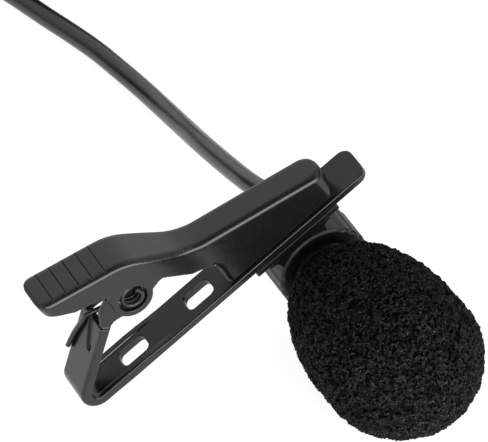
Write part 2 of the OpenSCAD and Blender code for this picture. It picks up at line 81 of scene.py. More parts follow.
# ---------------------------------------------------------------- camera
CAM_AZIMUTH, CAM_ELEVATION = -26.65, 40.22
CAM_PLACE = (-209.1, -396.6, 395.4)
SENSOR, FOCAL_PX, FRAME_PX = 36, 4650, 488
cam = bpy.data.objects.new("camera", bpy.data.cameras.new("camera"))
scene.collection.objects.link(cam)
cam.rotation_euler = (math.radians(90 - CAM_ELEVATION), 0, math.radians(CAM_AZIMUTH))
cam.location = mic(*CAM_PLACE)
cam.data.sensor_width = SENSOR
cam.data.lens = FOCAL_PX * SENSOR / FRAME_PX
cam.data.clip_start, cam.data.clip_end = 0.05, 10
scene.camera = cam

# ---------------------------------------------------------------- materials
COAT_ROUGH = 0.2
PATCH_SCALE, GLOSS_SCALE = 0.12, 0.35  # of the patches of colour and gloss, in parts of the grain's
WEAR_GRAIN, WEAR_BREAKUP, WEAR_SHARE = 900, 0.06, 0.5


def node(tree, kind):
    return tree.nodes.new("ShaderNode" + kind)


def new_material(name, color, rough, metallic=0.0, specular=0.5, coat=0.0, sheen=0.0):
    m = bpy.data.materials.new(name)
    m.use_nodes = True
    b = m.node_tree.nodes["Principled BSDF"]
    b.inputs["Base Color"].default_value = (*color, 1)
    for socket, value in (("Roughness", rough), ("Metallic", metallic),
                          ("Specular IOR Level", specular), ("Coat Weight", coat),
                          ("Coat Roughness", COAT_ROUGH), ("Sheen Weight", sheen)):
        b.inputs[socket].default_value = value
    return m, m.node_tree, b


def noise(tree, vector, scale, detail, rough=0.5):
    n = node(tree, "TexNoise")
    n.inputs["Scale"].default_value = scale
    n.inputs["Detail"].default_value = detail
    n.inputs["Roughness"].default_value = rough
    tree.links.new(vector, n.inputs["Vector"])
    return n.outputs["Fac"]


def ramp(tree, value, stops):
    """A colour ramp over value. Each stop is its place and a grey or a colour."""
    r = node(tree, "ValToRGB")
    tree.links.new(value, r.inputs["Fac"])
    while len(r.color_ramp.elements) < len(stops):
        r.color_ramp.elements.new(0.5)
    for e, (pos, c) in zip(r.color_ramp.elements, stops):
        e.position = pos
        e.color = (*c, 1) if hasattr(c, "__len__") else (c, c, c, 1)
    return r.outputs["Color"]


def multiply(tree, a, b):
    n = node(tree, "Mix")
    n.data_type, n.blend_type = "RGBA", "MULTIPLY"
    n.inputs["Factor"].default_value = 1.0
    tree.links.new(a, n.inputs["A"])
    tree.links.new(b, n.inputs["B"])
    return n.outputs["Result"]


def attribute(tree, name):
    n = node(tree, "Attribute")
    n.attribute_name = name
    return n.outputs["Fac"]


def bump(tree, bsdf, height, strength, distance):
    b = node(tree, "Bump")
    b.inputs["Strength"].default_value = strength
    b.inputs["Distance"].default_value = distance * MM
    tree.links.new(height, b.inputs["Height"])
    tree.links.new(b.outputs["Normal"], bsdf.inputs["Normal"])


def speckled(name, dark, light, rough, grain, bump_mm, **kw):
    """A moulded or painted surface: fine grain in its height, and patchy colour and roughness.

    grain is the scale of its noise, in cells to a metre.
    """
    m, t, b = new_material(name, dark, rough[0], **kw)
    v = node(t, "TexCoord").outputs["Object"]
    patches = noise(t, v, grain * PATCH_SCALE, 4, 0.6)
    gloss = noise(t, v, grain * GLOSS_SCALE, 3, 0.6)
    t.links.new(ramp(t, patches, [(0.3, dark), (0.75, light)]), b.inputs["Base Color"])
    t.links.new(ramp(t, gloss, [(0.3, rough[0]), (0.7, rough[1])]), b.inputs["Roughness"])
    bump(t, b, noise(t, v, grain, 2), 0.6, bump_mm)
    return m


def edge_worn(name, dark, edge, rough, grain, bump_mm):
    """Painted steel, thinner and lighter along its edges and duller in its score lines."""
    m = speckled(name, dark, tuple(1.5 * c for c in dark), rough, grain, bump_mm)
    t = m.node_tree
    b = t.nodes["Principled BSDF"]
    breakup = node(t, "Math")
    breakup.operation = "MULTIPLY_ADD"
    t.links.new(noise(t, node(t, "TexCoord").outputs["Object"], WEAR_GRAIN, 3), breakup.inputs[0])
    breakup.inputs[1].default_value = WEAR_BREAKUP
    t.links.new(node(t, "NewGeometry").outputs["Pointiness"], breakup.inputs[2])
    mask = ramp(t, breakup.outputs[0], [(0.555, 0.0), (0.61, WEAR_SHARE)])
    mix = node(t, "Mix")
    mix.data_type = "RGBA"
    t.links.new(mask, mix.inputs["Factor"])
    t.links.new(b.inputs["Base Color"].links[0].from_socket, mix.inputs["A"])
    mix.inputs["B"].default_value = (*edge, 1)
    t.links.new(mix.outputs["Result"], b.inputs["Base Color"])
    gloss = ramp(t, attribute(t, "score"), [(0.0, 0.5), (0.9, 0.2)])
    t.links.new(gloss, b.inputs["Specular IOR Level"])
    return m


def grey(v):
    return (v, v, v)


MATERIALS = {"steel": edge_worn("black_painted_steel", (0.006, 0.006, 0.0065),
                                (0.03, 0.03, 0.032), (0.2, 0.28), 2600, 0.002)}
# Each look: the material's name, darker and lighter colour, roughness, grain, bump in mm, others
SPECKLED = {
    "wire": ("blackened_wire", grey(0.008), (0.016, 0.016, 0.017), (0.25, 0.35), 3000, 0.003, {}),
    "plastic": ("moulded_black_plastic", grey(0.003), grey(0.006), (0.34, 0.44), 3800, 0.004,
                {"specular": 0.36}),
    "body": ("black_anodised_metal", (0.014, 0.014, 0.015), (0.022, 0.022, 0.023), (0.3, 0.38),
             5200, 0.003, {}),
    "jacket": ("cord_jacket", grey(0.004), grey(0.008), (0.24, 0.3), 2400, 0.0025,
               {"specular": 0.72}),
    "bright": ("nickel_plate", (0.72, 0.71, 0.68), (0.8, 0.79, 0.77), (0.14, 0.22), 1500, 0.001,
               {"metallic": 1.0}),
    "can": ("drawn_aluminium", (0.7, 0.7, 0.71), grey(0.8), (0.28, 0.4), 2500, 0.002,
            {"metallic": 1.0}),
    "felt": ("grey_felt", grey(0.07), grey(0.12), (0.9, 1.0), 4200, 0.06, {"sheen": 0.3}),
    "gasket": ("soft_rubber", grey(0.03), grey(0.05), (0.6, 0.75), 2400, 0.01, {}),
    "board": ("green_board", (0.01, 0.12, 0.04), (0.02, 0.2, 0.07), (0.25, 0.35), 1800, 0.004,
              {"coat": 0.3}),
    "wires": ("wire_insulation", (0.35, 0.03, 0.025), (0.5, 0.05, 0.04), (0.35, 0.45), 2400, 0.004,
              {}),
    "brass": ("crimped_brass", (0.6, 0.42, 0.16), (0.72, 0.53, 0.24), (0.25, 0.38), 2400, 0.003,
              {"metallic": 1.0}),
    "tie": ("hook_and_loop_strap", grey(0.02), grey(0.045), (0.85, 0.95), 5200, 0.05,
            {"sheen": 0.4})}
for look, (*row, others) in SPECKLED.items():
    MATERIALS[look] = speckled(*row, **others)

NODES_OF_LOOK = {
    "steel": ("lower_jaw", "upper_lever"),
    "wire": ("torsion_spring", "holder_rivet"),
    "plastic": ("mic_holder", "rear_cap", "windscreen", "plug_cover", "sleeve_insulator",
                "tip_insulator"),
    "body": ("mic_housing",),
    "bright": ("front_grille", "plug_sleeve", "plug_ring", "plug_tip"),
    "felt": ("felt_disc",),
    "can": ("electret_capsule",),
    "gasket": ("capsule_gasket", "ground_wire"),
    "board": ("capsule_board",),
    "wires": ("signal_wire",),
    "brass": ("cable_ferrule",),
    "jacket": ("strain_relief", "cord", "cord_coil", "cord_tail", "plug_relief"),
    "tie": ("cord_tie",)}
for look, names in NODES_OF_LOOK.items():
    for name in names:
        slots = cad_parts[name].data.materials
        slots.clear()
        slots.append(MATERIALS[look])


# ---------------------------------------------------------------- mesh helpers
def make(name, verts, faces, look):
    me = bpy.data.meshes.new(name)
    me.from_pydata([tuple(v) for v in verts], [], faces)
    bm = bmesh.new()
    bm.from_mesh(me)
    bmesh.ops.recalc_face_normals(bm, faces=bm.faces)
    bm.to_mesh(me)
    bm.free()
    for p in me.polygons:
        p.use_smooth = True
    me.materials.append(MATERIALS[look])
    o = bpy.data.objects.new(name, me)
    scene.collection.objects.link(o)
    return o


def loft(count, n):
    """The faces of count rings of n points each, closed at both ends."""
    faces = [(i * n + k, i * n + (k + 1) % n, (i + 1) * n + (k + 1) % n, (i + 1) * n + k)
             for i in range(count - 1) for k in range(n)]
    return faces + [tuple(range(n)), tuple((count - 1) * n + k for k in range(n))]


def prism(name, outline, low, high, upright=False):
    """A straight steel form: (x, z) outline from y low to high, or (x, y) and z if upright."""
    n = len(outline)
    if upright:
        verts = [(x, y, z) for z in (low, high) for x, y in outline]
    else:
        verts = [(x, y, z) for y in (low, high) for x, z in outline]
    faces = [tuple(range(n)), tuple(range(2 * n - 1, n - 1, -1))]
    faces += [(i, (i + 1) % n, n + (i + 1) % n, n + i) for i in range(n)]
    return make(name, verts, faces, "steel")


def rod(name, centre, r, low, high, sides=64):
    angles = [2 * math.pi * k / sides for k in range(sides)]
    outline = [(centre[0] + r * math.cos(a), centre[1] + r * math.sin(a)) for a in angles]
    return prism(name, outline, low, high)


def catmull(points, step):
    """Points about step apart on a smooth curve through the given ones."""
    p = [np.array(q, float) for q in points]
    p = [2 * p[0] - p[1]] + p + [2 * p[-1] - p[-2]]
    out = []
    for i in range(1, len(p) - 2):
        n = max(1, int(round(np.linalg.norm(p[i + 1] - p[i]) / step)))
        for k in range(n):
            t = k / n
            out.append(0.5 * (2 * p[i] + (p[i + 1] - p[i - 1]) * t
                              + (2 * p[i - 1] - 5 * p[i] + 4 * p[i + 1] - p[i + 2]) * t * t
                              + (3 * p[i] - p[i - 1] - 3 * p[i + 1] + p[i + 2]) * t ** 3))
    return out + [p[-2]]


def tube(name, path, radius, look, sides, floor=None):
    """A round tube along path, closed at its ends. No point of it goes below floor."""
    path = [np.array(p, float) for p in path]
    n = len(path)
    tang = [path[min(i + 1, n - 1)] - path[max(i - 1, 0)] for i in range(n)]
    tang = [t / np.linalg.norm(t) for t in tang]
    ref = np.array((0, 0, 1.0)) if abs(tang[0][2]) < 0.9 else np.array((0, 1.0, 0))
    u = np.cross(tang[0], ref)
    u /= np.linalg.norm(u)
    verts = []
    for at, t in zip(path, tang):
        u = u - t * (u @ t)
        u /= np.linalg.norm(u)
        w = np.cross(t, u)
        for k in range(sides):
            a = 2 * math.pi * k / sides
            q = at + radius * (math.cos(a) * u + math.sin(a) * w)
            if floor is not None:
                q[2] = max(q[2], floor)
            verts.append(q)
    return make(name, verts, loft(n, sides), look)


def bake(o):
    """Replaces o's mesh by what its modifiers make of it."""
    dg = bpy.context.evaluated_depsgraph_get()
    me = bpy.data.meshes.new_from_object(o.evaluated_get(dg))
    o.modifiers.clear()
    old = o.data
    o.data = me
    bpy.data.meshes.remove(old)


def remesh(o, voxel, rounds):
    """Rebuilds o on a fine voxel grid, and rounds of smoothing leave small even radii."""
    m = o.modifiers.new("remesh", "REMESH")
    m.mode = "VOXEL"
    m.voxel_size = voxel
    m.use_smooth_shade = True
    if rounds:
        s = o.modifiers.new("soften", "SMOOTH")
        s.factor = 0.5
        s.iterations = rounds
    bake(o)


def boolean(o, tool, how):
    """Cuts o by tool, or to it, and deletes tool."""
    m = o.modifiers.new("bool", "BOOLEAN")
    m.operation = how
    m.solver = "EXACT"
    m.object = tool
    bake(o)
    bpy.data.objects.remove(tool)


def join(o, others):
    """Adds the meshes of others to o's, and deletes them."""
    bm = bmesh.new()
    for x in [o] + others:
        bm.from_mesh(x.data)
    bm.to_mesh(o.data)
    bm.free()
    for x in others:
        bpy.data.objects.remove(x)


def finish_piece(o, body, slot, *nodes):
    """Puts a piece that was drawn on the level clip in its place, hides the imported parts that it
    stands for, and attaches it to its body.
    """
    o.data.transform(CLIP)
    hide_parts(*nodes)
    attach(o, body)


def blend(a, b, t):
    """From a to b on a smooth step as t goes from 0 to 1."""
    t = min(1.0, max(0.0, t))
    return a + (b - a) * t * t * (3 - 2 * t)


def round_off(r, d):
    """How far a corner of radius r has drawn in at d from its end."""
    return 0.0 if d >= r else r - math.sqrt(max(0.0, r * r - (r - d) ** 2))


# ---------------------------------------------------------------- the cord, its coil and its tail
COIL_OUT = COIL_MID + STEP * LAYER_TURNS / 2
COIL_Z = TIE_T + PUSH_GAP + CORD_D / 2
EXIT = (MIC_X, MIC_Y + EXIT_BACK, FOAM_R)
ROUTE = [(14.25, 27.7, 9.6), (14.2, 33.2, 8.1), (14.3, 40.7, 6.1), (14.8, 48.2, 3.8),
         (15, 55.2, 2.1), (14.6, 61.2, 1.4), (13.8, 66.2, 1.25), (12.8, 71.2, 1.25),
         (11.4, 76.2, 1.25), (9.8, 81.2, 1.25), (8, 87.2, 1.25), (6, 93.2, 1.25),
         (4.4, 99.2, 1.4)]
TAIL = [(3.5, 115.2, 10.1), (3.6, 119.7, 8.6), (4.2, 124.2, 7), (5.6, 128.6, 5.5),
        (7.9, 132.2, 4.4)]
PLUG = (PLUG_X, COIL_C[1] + COIL_OUT + CORD_D / 2 + PLUG_R + PLUG_GAP, PLUG_R)
STRAIGHT = 1.2  # how far the cord leaves the strain relief straight
CORD_STEP, TURN_POINTS, CORD_SIDES = 1.2, 48, 20


def climb(u):
    """How much of one layer the cord has climbed, u turns after the layer's end."""
    return min(1.0, max(0.0, 2 * u + 0.5))


def coil_point(u):
    """The cord's middle after u turns, in and out again layer by layer."""
    v = u % (2 * LAYER_TURNS)
    r = COIL_OUT - STEP * min(v, 2 * LAYER_TURNS - v)
    a = math.radians(180 - 360 * u)
    z = COIL_Z + STEP * sum(climb(u - k * LAYER_TURNS) for k in range(1, LAYERS))
    return (COIL_C[0] + r * math.cos(a), COIL_C[1] + r * math.sin(a), z)


coil_x = COIL_C[0] - COIL_OUT
coil_top = COIL_Z + (LAYERS - 1) * STEP
lead = [EXIT, (EXIT[0], EXIT[1] + STRAIGHT, EXIT[2])] + ROUTE
lead.append((coil_x, COIL_C[1] - CORD_D, COIL_Z))
turns = [coil_point(i / TURN_POINTS) for i in range(TURN_POINTS * TURNS + 1)]
tail = [(coil_x, COIL_C[1] + CORD_D, coil_top)] + TAIL + [(PLUG[0] - CORD_D, *PLUG[1:]), PLUG]
path = catmull(lead, CORD_STEP)[:-1] + turns + catmull(tail, CORD_STEP)
path = [np.array(p) * MM for p in path]
cord = tube("cord_full", path, CORD_LOOK / 2 * MM, "jacket", CORD_SIDES, floor=0.0)
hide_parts("cord", "cord_coil", "cord_tail")
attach(cord, "clip_and_microphone")

# ---------------------------------------------------------------- upper lever, mm on the level clip
px, pz = PIVOT
NEAR_END = [0.0, 0.05, 0.15, 0.3, 0.5, 0.8, 1.1, 1.5]  # stations where a corner is round
TOP = np.array([(PAD_X, PAD_H), (SHOULDER[0] - 0.9, SHOULDER[1] + 0.3),
                (SHOULDER[0] + 0.8, SHOULDER[1] - 0.7), (KNEE_X - 1.6, KNEE_H + 1.2),
                (KNEE_X + 0.8, KNEE_H - 0.2), (NOSE_X, NOSE_H)])
STATION, FOLD_STEPS = 0.4, 8  # the lever's stations, and the steps of its long folds
SKIRT = -3.0  # how low its sides go before they are cut
THROUGH = 4  # half the length of what cuts through both sides


def top_line(x):
    """Height of the lever's top, with its kinks rounded."""
    near = [np.interp(x + d, TOP[:, 0], TOP[:, 1]) for d in (-0.6, -0.3, 0, 0.3, 0.6)]
    return float(np.mean(near))


def lever_loft(name, inset, rear, front):
    """The lever's outside, or its hollow, which is inset by the steel."""
    ends = NEAR_END + [1.9]
    xs = [rear + d for d in ends] + list(np.arange(rear + 2.3, front - 2.2, STATION))
    xs = sorted(xs + [front - d for d in ends])
    verts = []
    for x in xs:
        end = min(x - rear, front - x)
        corner = PAD_CORNER if x < px else NOSE_CORNER
        w = blend(PAD_W, NOSE_W, (x - WAIST_REAR) / (KNEE_X - WAIST_REAR)) / 2
        w = w - inset - round_off(corner - inset, end)
        z = top_line(x) - 1.1 * inset - round_off(EDGE_R - inset, end + 0.2)
        r = min(EDGE_R - 0.9 * inset, w)
        ring = [(w, SKIRT)] + [(w - r + r * math.cos(a), z - r + r * math.sin(a))
                               for a in np.linspace(0, math.pi / 2, FOLD_STEPS)]
        ring += [(-y, q) for y, q in ring[::-1]]
        verts += [(x, y, q) for y, q in ring]
    return make(name, verts, loft(len(xs), 2 * (FOLD_STEPS + 1)), "steel")


lever = lever_loft("upper_lever_steel", 0.0, PAD_X, NOSE_X)
hollow = lever_loft("cut", LEVER_T, PAD_X + LEVER_T, NOSE_X - NOSE_LEAN - LEVER_T)
boolean(lever, hollow, "DIFFERENCE")
# Outline of the sides: the box-shaped nose, the waist, the ear round the pivot, the thumb pad
EAR_R = 2.75
side = [(PAD_X - 1, PAD_H + 2), (NOSE_X + 1, PAD_H + 2), (NOSE_X + 0.4, NOSE_H),
        (NOSE_X - 0.5, 1.6), (NOSE_X - NOSE_LEAN, 0.1), (KNEE_X - 0.1, 0.1), (KNEE_X - 0.15, 1.4),
        (KNEE_X + 0.05, 2.6), (KNEE_X + 0.1, 3.4), (KNEE_X, 4.1), (KNEE_X - 0.4, 4.8),
        (KNEE_X - 1.1, 5.4), (KNEE_X - 2.6, 6.3), (px + 4.75, pz - 1.1), (px + 4.45, pz - 0.8),
        (px + 4.1, pz - 0.65), (px + 3.6, pz - 0.7), (px + 3.1, pz - 0.85)]
side += [(px + EAR_R * math.cos(a), pz + EAR_R * math.sin(a))
         for a in np.radians(np.arange(-22, -205, -6))]
side += [(px - 2.3, pz + 2.6), (px - 2.5, pz + 3.4), (px - 3, pz + 3.9), (px - 4, pz + 4.1),
         (px - 6.2, pz + 4.9), (px - 8.4, pz + 6.7), (PAD_X - 1, pz + 7.6)]
boolean(lever, prism("cut", side, -THROUGH, THROUGH), "INTERSECT")
boolean(lever, rod("cut", PIVOT, HOLE_R, -THROUGH, THROUGH), "DIFFERENCE")
# Lug on the edge of the near ear's hole, by the end of the spring
LUG_ANGLE, LUG_HALF = math.radians(70), 0.35
lug_x = px + (HOLE_R + 0.05) * math.cos(LUG_ANGLE)
lug_z = pz + (HOLE_R + 0.05) * math.sin(LUG_ANGLE)
lug = [(lug_x - LUG_HALF, lug_z - 0.3), (lug_x + LUG_HALF, lug_z - 0.3),
       (lug_x + LUG_HALF, lug_z + 0.4), (lug_x - LUG_HALF, lug_z + 0.4)]
join(lever, [prism("lug", lug, -PAD_W / 2 + 0.02, -PAD_W / 2 + LEVER_T)])
remesh(lever, voxel=0.07, rounds=14)

# Score lines pressed across the thumb pad, with a slight slope of each ridge between them
SCORES, SCORE_FIRST, SCORE_PITCH = 5, 2.1, 1.78
SCORE_DEPTH, SCORE_WIDTH, SCORE_SHADE, RIDGE_RISE = 0.09, 0.13, 0.1, 0.07
FLAT_HALF = PAD_W / 2 - 0.5
# Rolled edge at the rear of the box's sides, at RIM_X beside the knee by height
ROLL, ROLL_WIDTH, ROLL_TOP = 0.17, 0.24, 5.2
RIM_Z, RIM_X = (0.4, 1.4, 2.6, 3.4, 4.1, 4.8), (-0.1, -0.15, 0.05, 0.1, 0.0, -0.4)
score = lever.data.attributes.new("score", "FLOAT", "POINT")
for v in lever.data.vertices:
    x, y, z = v.co
    if x < px and z > top_line(x) - 0.35 and abs(y) < FLAT_HALF:
        q = (x - PAD_X - SCORE_FIRST) / SCORE_PITCH
        near = abs(q - min(SCORES - 1, max(0, round(q)))) * SCORE_PITCH
        rise = RIDGE_RISE * (1 - (q % 1)) if -1 < q < SCORES - 1 else 0.0
        edge = min(1.0, (FLAT_HALF - abs(y)) / 0.2)
        v.co.z -= SCORE_DEPTH * math.exp(-(near / SCORE_WIDTH) ** 2) + rise * edge
        score.data[v.index].value = math.exp(-(near / SCORE_SHADE) ** 2) * edge
    if KNEE_X - 0.6 < x < KNEE_X + 1.3 and 0.2 < z < ROLL_TOP and abs(y) > 1.5:
        rim = KNEE_X + 0.4 + float(np.interp(z, RIM_Z, RIM_X))
        swell = ROLL * math.exp(-((x - rim) / ROLL_WIDTH) ** 2) * blend(0, 1, (ROLL_TOP - z) / 0.8)
        v.co.y += math.copysign(swell, y)
finish_piece(lever, "upper_lever", "black_steel", "upper_lever")

# ---------------------------------------------------------------- lower jaw, mm on the level clip
LEG_DIR = math.radians(LEG_ANGLE)
LIP = 0.3  # height of the bent strip's side lips
TIP_CORNER, FAR = 1.5, 9.0  # corners of the plate's tip, and a place well clear of them


def on_leg(along, depth):
    """A point of the rear leg, along it from the bend and at a depth under its back."""
    base = (-PLATE_LEN - BEND_R * math.sin(LEG_DIR), BEND_R - JAW_T + BEND_R * math.cos(LEG_DIR))
    return (base[0] + along * math.cos(LEG_DIR) + depth * math.sin(LEG_DIR),
            base[1] + along * math.sin(LEG_DIR) - depth * math.cos(LEG_DIR))


def strip_stations():
    """Stations along the bent strip, from its tip to the leg's end.

    Each is a point of its outside, the direction inwards, the height of its side lips, and its
    distance from the tip.
    """
    bend = np.array((-PLATE_LEN, BEND_R - JAW_T))
    for x in [-d for d in NEAR_END] + list(np.arange(-2, -PLATE_LEN, -0.5)):
        yield np.array((x, -JAW_T)), np.array((0, 1.0)), blend(LIP, 0.0, (x + 37) / 6), -x
    for a in np.radians(np.arange(270, 90 + LEG_ANGLE - 0.1, -5)):
        out = np.array((math.cos(a), math.sin(a)))
        yield bend + BEND_R * out, -out, LIP, FAR
    inward = np.array((math.sin(LEG_DIR), -math.cos(LEG_DIR)))
    for al in list(np.arange(0.4, 9.0, 0.5)) + [9.3, 9.6, 9.8, 9.9]:
        yield np.array(on_leg(al, 0)), inward, blend(LIP, 0.2, al / 5), FAR


verts, count = [], 0
for at, inward, lip, from_tip in strip_stations():
    w = PLATE_W / 2 - round_off(TIP_CORNER, from_tip)
    soft = blend(0.25, 0.4, (-at[0] - 38) / 5)
    # half the strip's section, as (y, depth): outer face, rounded edge, lip, inner face
    half = [(0.0, 0.0), (w * 0.5, 0.0)]
    half += [(w - soft + soft * math.sin(q), soft - soft * math.cos(q))
             for q in np.linspace(0, math.pi / 2, 7)]
    half += [(w, JAW_T + lip - 0.15), (w - 0.05, JAW_T + lip - 0.04), (w - 0.15, JAW_T + lip),
             (w - 0.7, JAW_T + lip), (w - 0.8, JAW_T + lip * 0.9), (w - 0.95, JAW_T),
             (0.0, JAW_T)]
    section = half + [(-y, t) for y, t in half[::-1][1:-1]]
    for y, t in section:
        x, z = at + inward * t
        verts.append((x, y, z))
    count += 1
jaw = make("lower_jaw_steel", verts, loft(count, len(section)), "steel")
for k in range(3):
    x = -PLATE_LEN + SLOT_FIRST + SLOT_PITCH * k
    outline = [(x + sx * (SLOT_LEN / 2 - SLOT_R) + SLOT_R * math.cos(q),
                sy * (SLOT_W / 2 - SLOT_R) + SLOT_R * math.sin(q))
               for sx, sy, q0 in ((1, 1, 0), (-1, 1, 90), (-1, -1, 180), (1, -1, 270))
               for q in np.radians(np.linspace(q0, q0 + 90, 8))]
    boolean(jaw, prism("cut", outline, -3, 1, upright=True), "DIFFERENCE")

# Ears inside the lever's: a round head on a neck that runs out into the leg's side
HEAD_R, EAR_IN, EAR_OUT, EAR_SPREAD = 2.65, 1.62, 2.42, 0.43
COIL_HOLE_R, STUB_R, PIN_R = 1.7, HOLE_R - 0.08, 0.85
neck = [(px + HEAD_R * math.cos(q), pz + HEAD_R * math.sin(q))
        for q in np.radians(np.arange(128, -112, -8))]
neck += [(px - 1.9, pz - 2.35), (px - 2.45, pz - 2.1), (px - 2.95, pz - 1.9),
         (px - 3.6, pz - 1.78), (px - 4.1, pz - 1.75), (px - 4.55, pz - 1.85),
         on_leg(9.4, JAW_T + 0.2), on_leg(8.6, JAW_T + 0.2), on_leg(8.2, 0.35), on_leg(9.6, 0.3),
         (px - 4.5, pz + 0.9), (px - 3.4, pz + 1.6), (px - 2.6, pz + 2.1)]
foot = np.array(on_leg(0, 0))
along, inward = np.array(on_leg(1, 0)) - foot, np.array(on_leg(0, 1)) - foot
for sign in (-1, 1):
    ear = prism("ear", neck, *sorted((EAR_IN * sign, EAR_OUT * sign)))
    remesh(ear, voxel=0.12, rounds=0)
    for v in ear.data.vertices:
        al = (np.array((v.co.x, v.co.z)) - foot) @ along
        v.co.y += sign * blend(EAR_SPREAD, 0.0, (al - 9.0) / 1.9)
    if sign < 0:
        boolean(ear, rod("cut", (px, pz - SPRING_SAG), COIL_HOLE_R, -THROUGH, 0), "DIFFERENCE")
    else:
        # the far ear's hole is closed, with the end of a pin in the coil
        join(ear, [rod("stub", PIVOT, STUB_R, 2.0, PAD_W / 2),
                   rod("pin", (px, pz - SPRING_SAG), PIN_R, -1.3, 2.2, 32)])
    join(jaw, [ear])
remesh(jaw, voxel=0.09, rounds=4)

# Groove pressed into the leg's back, aslant from GROOVE_Y beside the middle
GROOVE, GROOVE_HALF, GROOVE_REACH = 0.34, 0.5, 0.55
GROOVE_FROM, GROOVE_TO, GROOVE_Y = 5.4, 9.9, -1.2
for v in jaw.data.vertices:
    at = np.array((v.co.x, v.co.z)) - foot
    al, deep = float(at @ along), float(at @ inward)
    if GROOVE_FROM < al < GROOVE_TO and deep < GROOVE_REACH:
        mid = GROOVE_Y - GROOVE_Y * (al - 6.1) / 3.3
        push = (GROOVE * math.exp(-((v.co.y - mid) / GROOVE_HALF) ** 4)
                * blend(0, 1, (al - 5.5) / 0.8) * blend(0, 1, (GROOVE_REACH - deep) / 0.4))
        v.co.x += push * inward[0]
        v.co.z += push * inward[1]
finish_piece(jaw, "clip_and_microphone", "black_steel", "lower_jaw")

# ---------------------------------------------------------------- microphone holder
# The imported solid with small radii, a waist to its neck and grip ribs on its ring
NECK_HALF, NECK_FLARE, NECK_TOP, RING_CLEAR = 3.7, 0.5, 6.45, 6.3
RIBS, RIB_WIDTH, RIB_DEPTH, RIB_R = (-12, 4, 20, 36), 3.2, 0.045, 5.9
holder = bpy.data.objects.new("mic_holder_moulding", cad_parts["mic_holder"].data.copy())
scene.collection.objects.link(holder)
holder.data.transform(Matrix.Scale(1 / MM, 4))
remesh(holder, voxel=0.1, rounds=4)
holder.data.transform(Matrix.Scale(MM, 4))
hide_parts("mic_holder")
holder.data.transform(CLIP.inverted())
for v in holder.data.vertices:
    u, w = v.co.x + AXIS_BACK, v.co.z + AXIS_DROP
    reach = math.hypot(u, w)
    if 1.5 < w < NECK_TOP:
        limit = max(NECK_HALF + NECK_FLARE * math.exp((w - NECK_TOP) / 0.25),
                    math.sqrt(max(0.0, RING_CLEAR ** 2 - w * w)))
        u = math.copysign(min(abs(u), limit), u)
    if reach > RIB_R and -3 < w < 4 and abs(u) > 4.4:
        turn = math.degrees(math.atan2(w, abs(u)))
        u *= 1 - RIB_DEPTH * max(math.exp(-((turn - q) / RIB_WIDTH) ** 2) for q in RIBS)
    v.co.x = u - AXIS_BACK
holder.data.transform(CLIP)
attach(holder, "clip_and_microphone")

# ---------------------------------------------------------------- windscreen: open-cell foam
# Its outline, mm in front of the ring's centre, and its bore
FOAM_BACK, FOAM_FRONT, FOAM_REAR, FOAM_NOSE = 5.1, 32.9, 12.8, 10.4
BORE, BORE_END, MOUTH = 5.03, 13.68, 0.4
FOAM_LOOK = FOAM_R - 0.12
GRID, RING_POINTS, LEAST_GRID = 0.18, 368, 0.125
# How far it sits askew on the head, across for each mm forward, and how far it sags
ASKEW, ASKEW_FROM, SAG = 0.042, FOAM_BACK + 0.5, 0.2
# The cells fade out within this of the bore's mouth, where the foam grips the head
FADE_FROM, FADE_WIDTH, FADE_LEN = 0.5, 0.8, 3
# How far the cells' middles stray, in parts of their spacing, and how their sizes differ
JITTER_ROUND, JITTER_ALONG, JITTER_DEEP, CELL_SIZES = 0.48, 0.5, 0.3, (0.6, 1.4)
# Core: size of the cells, depth, depth of a pit, rise and fall of the cells, painted shade in its
# pits
CORE_CELL, CORE_DEPTH, CORE_PIT, CORE_RISE, CORE_SHADE = 0.4, 0.42, 0.16, 0.08, 1.0
# Layers of cell walls: depth, size of the cells, width of the walls, painted shade (more for the
# deeper layer)
WALL_LAYERS = ((0.0, 0.38, 0.1, 0.0), (0.2, 0.34, 0.1, 0.5))
WALL_ROUGH, WALL_ROUND, WALL_RISE, WALL_FOOT = 0.07, 0.1, 0.13, 0.6
# The walls' random tone, and the painted shade at their feet, deep in the pores
WALL_SHADES, FOOT_SHADE = (-0.3, 0.45), 1.2
LEAST_ISLAND = 80
rng = np.random.default_rng(5)


def taper(a):
    """A quarter of the foam's outline, slightly squarer than an ellipse."""
    return math.cos(a) ** 1.3, math.sin(a) ** 1.1


def resample(points, step):
    p = np.array(points, float)
    s = np.concatenate([[0], np.cumsum(np.linalg.norm(np.diff(p, axis=0), axis=1))])
    n = int(round(s[-1] / step))
    t = np.linspace(0, s[-1], n + 1)
    return np.stack([np.interp(t, s, p[:, 0]), np.interp(t, s, p[:, 1])], 1)


def around(r, y, a):
    """Points at angles a round the axis, at radius r and y in front of the ring."""
    return np.stack([r * np.cos(a), -y + 0 * a, r * np.sin(a)], 1)


def even_ring(r, y, n):
    return around(r, y, 2 * math.pi * np.arange(n) / n)


def between(a, na, b, nb):
    """Faces from a ring of na points, from number a on, to one of as many, half or double."""
    if na == nb:
        return [(a + k, b + k, b + (k + 1) % nb, a + (k + 1) % na) for k in range(na)]
    out = []
    for k in range(min(na, nb)):
        if nb == 2 * na:
            k1 = (k + 1) % na
            out += [(a + k, b + 2 * k, b + 2 * k + 1), (a + k, b + 2 * k + 1, a + k1),
                    (a + k1, b + 2 * k + 1, b + (2 * k + 2) % nb)]
        else:
            k1 = (k + 1) % nb
            out += [(b + k, a + 2 * k + 1, a + 2 * k), (b + k, b + k1, a + 2 * k + 1),
                    (b + k1, a + (2 * k + 2) % na, a + 2 * k + 1)]
    return out


